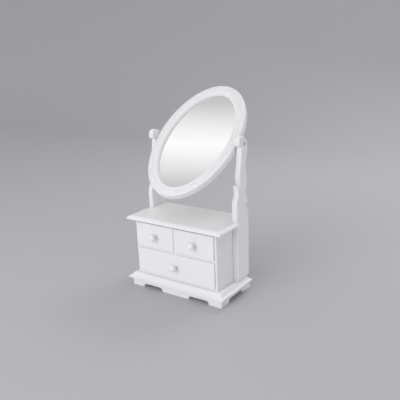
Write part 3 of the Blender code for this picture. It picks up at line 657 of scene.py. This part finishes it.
for half_wave in range(2 * WAVES):
    side = 1 if half_wave % 2 == 0 else -1
    start = END_LEAF + WAVE / 2 * half_wave
    heart = start + WAVE * 0.27
    curl = []
    for i in range(CURL_STEPS):
        share = i / (CURL_STEPS - 1)
        turn = math.pi * (1.02 - 2.9 * share)
        reach = CURL_OUTER * (1.0 - share) + CURL_INNER * share
        curl.append((heart + 1.18 * reach * math.cos(turn), side * (-0.0010 + reach * math.sin(turn))))
    stroke(curl, 0.00085, 0.0008, taper=0.25)
    berry(heart, side * -0.0010, 0.0015, 0.00095)
    for heading, length in ((1.15, 0.0056), (0.45, 0.0062), (1.85, 0.0044)):
        leaf(start + WAVE * 0.02, side * -0.0016, -side * heading, length, 0.00105, side * 0.5)
    leaf(start + WAVE * 0.36, side * 0.0050, side * 0.35, 0.0052, 0.00095, -side * 0.6)

for end in (0.0, HALF_BAND):
    for turn in (-1.15, -0.6, 0.0, 0.6, 1.15):
        for face in (-1, 1):
            leaf(end, 0.0, math.pi / 2 * face + turn, 0.0066 if turn else 0.0062, 0.0013)
    berry(end, 0.0, 0.0019, 0.00100)
print(len(strokes), "stroke points,", WAVES, "waves a side of", round(WAVE, 4), "m")

# %% [markdown]
# A search tree tells for any point of the band how far the nearest strokes are. Each stroke is round on top and
# has a thin foot, as a carver's cut leaves it.

# %% Height of the carving
FOOT_WIDE, FOOT_HIGH = 0.0006, 0.00006
NEAR_COUNT = 10

near_strokes = KDTree(len(strokes))
for i, (along, across, wide, height) in enumerate(strokes):
    near_strokes.insert((along, across, 0.0), i)
near_strokes.balance()


def relief(along, across):
    """Height of the carving at a place on the band."""
    along = min(along, BAND_LENGTH - along)
    best = 0.0
    for _, i, gap in near_strokes.find_n((along, across, 0.0), NEAR_COUNT):
        _, _, wide, height = strokes[i]
        if gap < wide:
            best = max(best, height * math.sqrt(1.0 - (gap / wide) ** 2))
        elif gap < wide + FOOT_WIDE:
            best = max(best, FOOT_HIGH * (1.0 - (gap - wide) / FOOT_WIDE))
    return best


print("highest of the carving:", max(height for _, _, _, height in strokes))

# %% [markdown]
# ## Carved mirror frame: the section
# The rows of the section go from the back, round the rim and over the face to the glass, and back inside the two
# rebates that hold the glass and its backing. Each row is a distance in from the edge and a depth. The ground of
# the band is lightly crowned.

# %% Section of the frame
RIM_ROUND, RIM_INSET, RIM_STEPS = 0.0041, 0.0002, 9
RIM_TURN = math.radians(84.0)
BAND_FROM, BAND_TO, BAND_ROWS = 0.0052, 0.0198, 32
BAND_DEEP, BAND_CROWN = 0.0010, 0.0002
SIGHT_EDGE, GLASS_REBATE, BACKING_REBATE = 0.0310, 0.0250, 0.0170
GLASS_SEAT, BACKING_SEAT = -0.0015, 0.0031

rows = [
    (BACKING_REBATE, FRAME_BACK), (0.0022, FRAME_BACK), (0.0012, FRAME_BACK - 0.0009),
    (0.0004, FRAME_BACK - 0.0019), (RIM_INSET, FRAME_BACK - 0.0028), (RIM_INSET, FRAME_FRONT + RIM_ROUND),
]
for i in range(1, RIM_STEPS + 1):
    turn = RIM_TURN * i / RIM_STEPS
    inset = RIM_INSET + RIM_ROUND - RIM_ROUND * math.cos(turn)
    rows.append((inset, FRAME_FRONT + RIM_ROUND - RIM_ROUND * math.sin(turn)))
rows += [(0.0043, FRAME_FRONT + 0.0004), (0.0047, FRAME_FRONT + 0.0010), (0.0050, FRAME_FRONT + 0.0014)]
carved_from = len(rows)
for i in range(BAND_ROWS + 1):
    share = i / BAND_ROWS
    crown = BAND_CROWN * math.sin(math.pi * share)
    rows.append((BAND_FROM + (BAND_TO - BAND_FROM) * share, FRAME_FRONT + BAND_DEEP + BAND_CROWN - crown))
carved_to = len(rows)
rows.append((0.0203, FRAME_FRONT + 0.0013))
rows += soft_line([
    (0.0208, FRAME_FRONT + 0.0010), (0.0216, FRAME_FRONT + 0.0003), (0.0232, FRAME_FRONT + 0.0002),
    (0.0252, FRAME_FRONT + 0.0008), (0.0270, FRAME_FRONT + 0.0021), (0.0286, FRAME_FRONT + 0.0040),
    (0.0299, FRAME_FRONT + 0.0060), (SIGHT_EDGE, FRAME_FRONT + 0.0078),
], 4)
rows += [
    (SIGHT_EDGE, GLASS_SEAT), (GLASS_REBATE, GLASS_SEAT), (GLASS_REBATE, BACKING_SEAT),
    (BACKING_REBATE, BACKING_SEAT),
]
print("section:", len(rows), "rows, of which", carved_to - carved_from, "are carved")

# %% [markdown]
# Each row becomes a ring round the oval. Only the rows of the carved band ask for the height of the relief, which
# stands out to the front.

# %% Loft the frame
rings = []
for number, (inset, depth) in enumerate(rows):
    carved = carved_from <= number < carved_to
    ring = []
    for i, angle in enumerate(angles):
        across, up_place = oval_point(angle, inset)
        raised = relief(BAND_LENGTH * i / OVAL_STEPS, BAND_MIDDLE - inset) if carved else 0.0
        ring.append(mirror_place @ Vector((across, depth - raised, up_place)))
    rings.append(ring)
carved_frame = piece_from("mirror_frame_carved", *loft(rings, closed=True), lacquer_carved, 50.0)
stand_in(carved_frame, "mirror", "mirror_frame")
print("carved frame:", len(carved_frame.data.vertices), "points")

# %% [markdown]
# ## Scroll uprights: the outline
# Each upright is sawn from a board along a scrolled line. The line comes from a few points with smooth or sharp
# turns, which the curve tool joins. Each point gives its share of the depth from the back edge, its share of the
# height from the foot, and V for a sharp turn or A for a smooth one.

# %% The scrolled outline
UPRIGHT_BACK, UPRIGHT_DEEP = 0.135, 0.0583
UPRIGHT_FOOT, UPRIGHT_TALL = 0.0383, 0.3827
OUTLINE_STEP = 0.0014
SCROLL = [
    (0.000, 0.000, "V"), (0.000, 0.440, "A"), (0.018, 0.483, "A"), (0.110, 0.505, "A"), (0.275, 0.527, "V"),
    (-0.022, 0.535, "V"), (0.085, 0.565, "A"), (0.160, 0.612, "A"), (0.125, 0.662, "A"), (0.068, 0.708, "A"),
    (0.118, 0.750, "A"), (0.168, 0.792, "A"), (0.095, 0.840, "A"), (0.010, 0.885, "A"), (0.000, 0.925, "A"),
    (0.075, 0.966, "A"), (0.240, 0.988, "A"), (0.455, 1.000, "A"), (0.640, 0.990, "A"), (0.700, 0.965, "A"),
    (0.690, 0.938, "V"), (0.500, 0.927, "V"), (0.545, 0.880, "A"), (0.605, 0.820, "A"), (0.695, 0.760, "A"),
    (0.715, 0.715, "A"), (0.665, 0.672, "V"), (0.905, 0.679, "V"), (0.845, 0.645, "A"), (0.850, 0.605, "A"),
    (0.955, 0.580, "A"), (1.000, 0.545, "A"), (1.000, 0.500, "V"), (1.000, 0.000, "V"),
]
HANDLES = {"V": "VECTOR", "A": "AUTO"}

scroll_curve = bpy.data.curves.new("scroll", "CURVE")
spline = scroll_curve.splines.new("BEZIER")
spline.bezier_points.add(len(SCROLL) - 1)
spline.use_cyclic_u = True
for knot, (back, tall, _) in zip(spline.bezier_points, SCROLL):
    knot.co = (UPRIGHT_BACK - back * UPRIGHT_DEEP, UPRIGHT_FOOT + tall * UPRIGHT_TALL, 0.0)
for knot, (_, _, kind) in zip(spline.bezier_points, SCROLL):
    knot.handle_left_type = knot.handle_right_type = HANDLES[kind]
knots = list(spline.bezier_points)
outline = []
for knot, following in zip(knots, knots[1:] + knots[:1]):
    steps = max(4, round((following.co - knot.co).length / OUTLINE_STEP))
    line = interpolate_bezier(knot.co, knot.handle_right, following.handle_left, following.co, steps + 1)
    outline += [Vector((p.x, p.y)) for p in line[:-1]]
bpy.data.curves.remove(scroll_curve)
area = sum(a.x * b.y - b.x * a.y for a, b in zip(outline, outline[1:] + outline[:1])) / 2
if area < 0:
    outline.reverse()
print("outline:", len(outline), "points; reaches up to", round(max(p.y for p in outline), 4))

# %% [markdown]
# ## Scroll uprights: the rounded edges
# The edges are rounded over. The rounding is a loft: the outline moves inwards step by step while it rises to the
# face. The steps inwards share one search tree of the outline. A point that has come closer to the outline than it
# should is past the middle of a tip, and is laid between its nearest good neighbours, as a round file leaves it.

# %% The outline moved inwards
SPOTS_A_SPAN = 3
CLOSE_ENOUGH = 0.985

near_outline = KDTree(len(outline) * SPOTS_A_SPAN)
for i, (a, b) in enumerate(zip(outline, outline[1:] + outline[:1])):
    for k in range(SPOTS_A_SPAN):
        spot = a.lerp(b, k / SPOTS_A_SPAN)
        near_outline.insert((spot.x, spot.y, 0.0), SPOTS_A_SPAN * i + k)
near_outline.balance()


def inward(distance):
    """The outline, each point moved in by the distance, with the points past a tip's middle drawn together."""
    count = len(outline)
    moved, good = [], []
    for i, point in enumerate(outline):
        along = (outline[(i + 1) % count] - point).normalized() + (point - outline[i - 1]).normalized()
        along.normalize()
        spot = point + Vector((-along.y, along.x)) * distance
        moved.append(spot)
        good.append(near_outline.find((spot.x, spot.y, 0.0))[2] > distance * CLOSE_ENOUGH)
    for i in range(count):
        if good[i]:
            continue
        before = next(k for k in range(1, count) if good[i - k])
        after = next(k for k in range(1, count) if good[(i + k) % count])
        a, b = moved[i - before], moved[(i + after) % count]
        moved[i] = a.lerp(b, before / (before + after))
    return moved


print("outline can move inwards, from", near_outline.find((0.1, 0.2, 0.0))[1], "on")

# %% [markdown]
# The outer edge is rounded all the way up. The inner one is left nearly square where the board lies against the
# case, so that no dark groove shows there, and it is drawn in as far as the outer one above the case.

# %% Rings of the two edges
EDGE_ROUND, ROUND_STEPS = 0.0030, 5
AGAINST_CASE, BLEND_HEIGHT = 0.2, 0.02
case_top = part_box("side_panel_right")[1].z

edge_rings = []
for step in range(ROUND_STEPS + 1):
    turn = math.pi / 2 * step / ROUND_STEPS
    points = inward(EDGE_ROUND * (1.0 - math.sin(turn))) if step < ROUND_STEPS else outline
    edge_rings.append((points, EDGE_ROUND * (1.0 - math.cos(turn))))

case_rings = []
for points, depth in edge_rings:
    line = []
    for rim, point in zip(outline, points):
        free = min(max((rim.y - case_top) / BLEND_HEIGHT, 0.0), 1.0)
        line.append(rim.lerp(point, AGAINST_CASE + (1.0 - AGAINST_CASE) * free))
    case_rings.append((line, depth * AGAINST_CASE))
print("edge rings:", len(edge_rings), "a side")

# %% [markdown]
# ## Scroll uprights: the boards
# The bolt that the mirror turns on sits in a stepped hole: wide for the head on the outside, narrow through the
# rest. The two faces are filled between the innermost ring and the hole's circle.

# %% Build the uprights
UPRIGHT_THICK = 0.015
BOLT_PLACE = Vector((0.1206, 0.3989))
HOLE_STEPS = 40
HOLE = [(0.0050, 0.0), (0.00425, 0.0006), (0.00425, 0.0073), (0.00265, 0.0073), (0.00265, UPRIGHT_THICK)]


def skin(form, low, high):
    for i in range(len(low)):
        k = (i + 1) % len(low)
        form.faces.new((low[i], low[k], high[k], high[i]))


def fill_between(form, outside, inside):
    border = []
    for loop in (outside, inside):
        for i in range(len(loop)):
            pair = (loop[i], loop[(i + 1) % len(loop)])
            border.append(form.edges.get(pair) or form.edges.new(pair))
    bmesh.ops.triangle_fill(form, edges=border, use_beauty=True, use_dissolve=False)


def upright(name, side, outer):
    """side is 1 for the right one and -1 for the left one. Depth is measured inwards from the outer face."""
    form = bmesh.new()

    def ring(points, depth):
        return [form.verts.new((outer - side * depth, p.x, p.y)) for p in points]

    edge = [ring(points, depth) for points, depth in edge_rings]
    edge += [ring(points, UPRIGHT_THICK - depth) for points, depth in reversed(case_rings)]
    round_line = [Vector(p) for p in circle(HOLE_STEPS)]
    hole = [ring([BOLT_PLACE + radius * p for p in round_line], depth) for radius, depth in HOLE]
    for line in (edge, hole):
        for low, high in zip(line, line[1:]):
            skin(form, low, high)
    fill_between(form, edge[0], hole[0])
    fill_between(form, edge[-1], hole[-1])
    verts = [v.co.copy() for v in form.verts]
    form.verts.index_update()
    faces = [tuple(v.index for v in f.verts) for f in form.faces]
    form.free()
    return piece_from(name, verts, faces, lacquer_z, 42.0)


for label, side in (("left", -1), ("right", 1)):
    low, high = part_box("upright_" + label)
    piece = upright("upright_scroll_" + label, side, high.x if side > 0 else low.x)
    stand_in(piece, "case", "upright_" + label)
    print(piece.name, len(piece.data.vertices), "points")

# %% [markdown]
# ## Turned knobs
# The knobs are turned from wood: a flattened dome, a waist and a small foot that sits on the drawer front. The same
# few radii as in the measured solid are joined by a smooth line, which then turns about the knob's axis. Each point
# of the line is a radius and a distance back from the tip.

# %% Turn the knobs
KNOB_LONG = 0.0195
KNOB_STEPS = 64
AXIS_RADIUS = 0.00002
KNOB_LINE = [(0.0, 0.0001)] + soft_line([
    (0.0014, 0.0001), (0.0042, 0.0004), (0.0074, 0.00176), (0.0094, 0.0041), (0.0100, 0.0066), (0.0093, 0.0092),
    (0.0070, 0.0115), (0.0049, 0.0136), (0.0045, 0.0152), (0.0049, 0.0170),
], 5) + [(0.0057, 0.0175), (0.0062, 0.0181), (0.0062, 0.0192), (0.0058, KNOB_LONG), (0.0, KNOB_LONG)]
DRAWERS = ("lower", "upper_left", "upper_right")

for drawer in DRAWERS:
    low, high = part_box("drawer_" + drawer + "_knob")
    middle = (low + high) / 2
    rings = []
    for radius, back in KNOB_LINE:
        radius = max(radius, AXIS_RADIUS)
        rings.append([
            Vector((middle.x + radius * x, low.y + back, middle.z + radius * z)) for x, z in circle(KNOB_STEPS)
        ])
    piece = piece_from("turned_knob_" + drawer, *loft(rings, capped=True), lacquer_turned, 60.0)
    stand_in(piece, "drawer_" + drawer, "drawer_" + drawer + "_knob")
print("knobs:", KNOB_STEPS, "steps round")

# %% [markdown]
# ## Drawer fronts
# The fronts stand a little proud of the case, with softly rounded edges, and they fit their openings closely: only a
# hairline of shadow runs round them. Each is a loft of rounded rectangles, so that its corners are round in every
# direction, as sanding leaves them. Two flat rings inside the rounding keep the shading of the face even.

# %% Rounded rectangles
FRONT_ROUND, BACK_ROUND, CORNER_ROUND = 0.0012, 0.0004, 0.0016
CORNER_STEPS, RIM_CUTS = 5, 5
SHARPEST_CORNER = 0.0002
FLAT_RINGS = (0.0050, 0.0020)


def rounded_rectangle(low_x, high_x, low_z, high_z, radius, y):
    """One ring, anticlockwise seen from the front, with round corners."""
    ring = []
    corners = ((high_x, high_z, 0.0), (low_x, high_z, 0.5), (low_x, low_z, 1.0), (high_x, low_z, 1.5))
    for x, z, start in corners:
        inner_x = x - math.copysign(radius, x - (low_x + high_x) / 2)
        inner_z = z - math.copysign(radius, z - (low_z + high_z) / 2)
        for i in range(CORNER_STEPS + 1):
            turn = math.pi * (start + 0.5 * i / CORNER_STEPS)
            ring.append(Vector((inner_x + radius * math.cos(turn), y, inner_z + radius * math.sin(turn))))
    return ring


def rounded_front(name, low, high):
    """A board that faces the front, rounded round its front and back edges."""
    rings = []

    def ring(shrink, y):
        rings.append(rounded_rectangle(
            low.x + shrink, high.x - shrink, low.z + shrink, high.z - shrink,
            max(CORNER_ROUND - shrink, SHARPEST_CORNER), y,
        ))

    for shrink in FLAT_RINGS:
        ring(FRONT_ROUND + shrink, low.y)
    cuts = range(RIM_CUTS + 1)
    for face, rim, way, order in ((low.y, FRONT_ROUND, 1, cuts), (high.y, BACK_ROUND, -1, reversed(cuts))):
        for i in order:
            turn = math.pi / 2 * i / RIM_CUTS
            ring(rim * (1.0 - math.sin(turn)), face + way * rim * (1.0 - math.cos(turn)))
    return piece_from(name, *loft(rings, capped=True), lacquer_x, 50.0)


print("a front has", 4 * (CORNER_STEPS + 1), "points a ring")

# %% Build the drawer fronts
FRONT_FIT = 0.0008

for drawer in DRAWERS:
    low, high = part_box("drawer_" + drawer + "_front")
    low, high = Vector(low), Vector(high)
    low.z -= FRONT_FIT
    high.z += FRONT_FIT
    if drawer != "upper_right":
        low.x -= FRONT_FIT
    if drawer != "upper_left":
        high.x += FRONT_FIT
    piece = rounded_front("rounded_front_" + drawer, low, high)
    stand_in(piece, "drawer_" + drawer, "drawer_" + drawer + "_front")
    print(piece.name, [round(v, 4) for v in high - low])

# %% [markdown]
# ## Divider with its rebated edge
# The upright board between the two upper drawers has a narrow tongue along its front edge. The drawer fronts close
# over the shoulders beside it, and the tongue fills the gap between them, so that no dark slot shows.

# %% Build the divider
TONGUE_HALF, TONGUE_FRONT, TONGUE_CHAMFER = 0.0022, -0.0032, 0.0006

low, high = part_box("drawer_divider")
half = (high.x - low.x) / 2
right_half = [
    (TONGUE_HALF - TONGUE_CHAMFER, TONGUE_FRONT), (TONGUE_HALF, TONGUE_FRONT + TONGUE_CHAMFER),
    (TONGUE_HALF, low.y), (half, low.y), (half, high.y),
]
plan = [(-x, y) for x, y in reversed(right_half)] + right_half
rings = [[Vector((x, y, z)) for x, y in plan] for z in (low.z, high.z)]
divider = piece_from("rebated_divider", *loft(rings, capped=True), lacquer_z, 30.0)
stand_in(divider, "case", "drawer_divider")
print("divider tongue:", 2 * TONGUE_HALF, "m wide")

# %% [markdown]
# ## Fasteners
# All bolts and screws are turned forms with a recess for the driver. The recess is pushed in from the flat of the
# head: the head is a loft of rings round the recess, which itself is a ring of steep walls and a floor. A
# six-sided or cross-shaped line has as many points as the circles round it, so the loft joins them.

# %% Recesses
RECESS_STEPS = 48
CROSS_ARM, CROSS_CORNER = 0.24, 1.42


def recess_line(kind, size):
    """A closed line round a recess: a hexagon, or a cross with narrow arms."""
    line = []
    for i in range(RECESS_STEPS):
        turn = math.tau * i / RECESS_STEPS
        if kind == "hexagon":
            wedge = (turn + math.pi / 6) % (math.pi / 3) - math.pi / 6
            reach = size * math.cos(math.pi / 6) / math.cos(wedge)
        else:
            wedge = abs((turn + math.pi / 4) % (math.pi / 2) - math.pi / 4)
            arm = CROSS_ARM * size
            reach = arm * CROSS_CORNER
            if wedge < math.pi / 4:
                reach = min(size, arm / max(math.sin(wedge), CROSS_ARM))
        line.append((reach * math.cos(turn), reach * math.sin(turn)))
    return line


print("recess lines have", len(recess_line("cross", 1.0)), "points")

# %% A turned fastener
FLOOR_SHARE = 0.92


def fastener(name, place, out, profile, kind, recess, recess_deep, body, solid):
    """A turned form with a recess. The profile's (radius, depth) points start at the head's flat face."""
    across = out.orthogonal().normalized()
    upward = out.cross(across)

    def ring(line, scale, depth):
        return [place + across * (scale * x) + upward * (scale * y) - out * depth for x, y in line]

    line = recess_line(kind, recess)
    rings = [ring(line, FLOOR_SHARE, recess_deep), ring(line, 1.0, 0.0)]
    rings += [ring(circle(RECESS_STEPS), radius, depth) for radius, depth in profile]
    piece = piece_from(name, *loft(rings, capped=True), zinc, 35.0)
    stand_in(piece, body, solid)


print("fasteners are", zinc.name)

# %% [markdown]
# The two bolts that the mirror turns on have round heads with a six-sided socket, sunk in the uprights.

# %% Socket bolts
HEAD_RADIUS, HEAD_DEEP, BOLT_RADIUS = 0.0038, 0.0040, 0.0025

for label, side in (("left", -1), ("right", 1)):
    solid = "pivot_bolt_" + label
    low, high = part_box(solid)
    length = high.x - low.x
    middle = Vector((high.x if side > 0 else low.x, (low.y + high.y) / 2, (low.z + high.z) / 2))
    fastener(
        "socket_bolt_" + label, middle, Vector((side, 0.0, 0.0)),
        [(0.0032, 0.0), (HEAD_RADIUS, 0.0006), (HEAD_RADIUS, 0.0039), (0.0037, HEAD_DEEP), (BOLT_RADIUS, HEAD_DEEP),
         (BOLT_RADIUS, length - 0.0006), (0.0019, length)],
        "hexagon", 0.0019, 0.0020, "mirror", solid,
    )
    print("socket_bolt_" + label, round(length, 4), "m long")

# %% [markdown]
# The screws that hold the mirror's backing, and those that hold the uprights to the case, are countersunk with a
# cross recess. The backing's screws stand square to the leaning mirror, so their place is found from the flat of
# the head.

# %% Countersunk screws
BACKING_SCREWS, BACKING_SCREW_LONG = 4, 0.009
BACKING_SCREW = {"head": 0.0027, "head_deep": 0.0014, "shank": 0.0014}
CASE_SCREW = {"head": 0.0040, "head_deep": 0.0024, "shank": 0.0020}
SAME_FACE = 0.0002
mirror_back = mirror_place.to_3x3() @ Vector((0.0, 1.0, 0.0))


def countersunk(name, place, out, length, body, solid, head, head_deep, shank):
    profile = [(head * 0.97, 0.0), (head, 0.0001), (shank * 1.05, head_deep), (shank, head_deep * 1.1)]
    profile += [(shank, length - 2 * shank), (shank * 0.25, length)]
    fastener(name, place, out, profile, "cross", head * 0.62, head_deep * 0.7, body, solid)


for number in range(1, BACKING_SCREWS + 1):
    solid = "backing_screw_%d" % number
    points = [nodes[solid].matrix_world @ v.co for v in nodes[solid].data.vertices]
    top = max(p.dot(mirror_back) for p in points)
    head_points = [p for p in points if p.dot(mirror_back) > top - SAME_FACE]
    place = sum(head_points, Vector()) / len(head_points)
    name = "cross_screw_backing_%d" % number
    countersunk(name, place, mirror_back, BACKING_SCREW_LONG, "mirror", solid, **BACKING_SCREW)

for row in ("lower", "upper"):
    for label, side in (("left", -1), ("right", 1)):
        solid = "upright_screw_" + row + "_" + label
        low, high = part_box(solid)
        place = Vector((high.x if side < 0 else low.x, (low.y + high.y) / 2, (low.z + high.z) / 2))
        name = "cross_screw_" + row + "_" + label
        countersunk(name, place, Vector((-side, 0.0, 0.0)), high.x - low.x, "case", solid, **CASE_SCREW)
print("cross-head screws:", BACKING_SCREWS + 4)

# %% [markdown]
# Each knob is held from inside its drawer by a screw with a round head.

# %% Knob screws
for drawer in DRAWERS:
    solid = "drawer_" + drawer + "_knob_screw"
    low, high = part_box(solid)
    length = high.y - low.y
    fastener(
        "knob_screw_" + drawer, Vector(((low.x + high.x) / 2, high.y, (low.z + high.z) / 2)), Vector((0.0, 1.0, 0.0)),
        [(0.0024, 0.0), (0.0034, 0.0005), (0.0038, 0.0014), (0.0038, 0.0022), (0.0018, 0.0022),
         (0.0018, length - 0.0012), (0.0006, length)],
        "cross", 0.0020, 0.0012, "drawer_" + drawer, solid,
    )
print("knob screws:", len(DRAWERS))

# %% [markdown]
# ## Update the scene
# The view layer is updated, so that every piece stands at its place. The dressed piece must stay inside
# the box of the measured solids.

# %% Update the scene
bpy.context.view_layer.update()
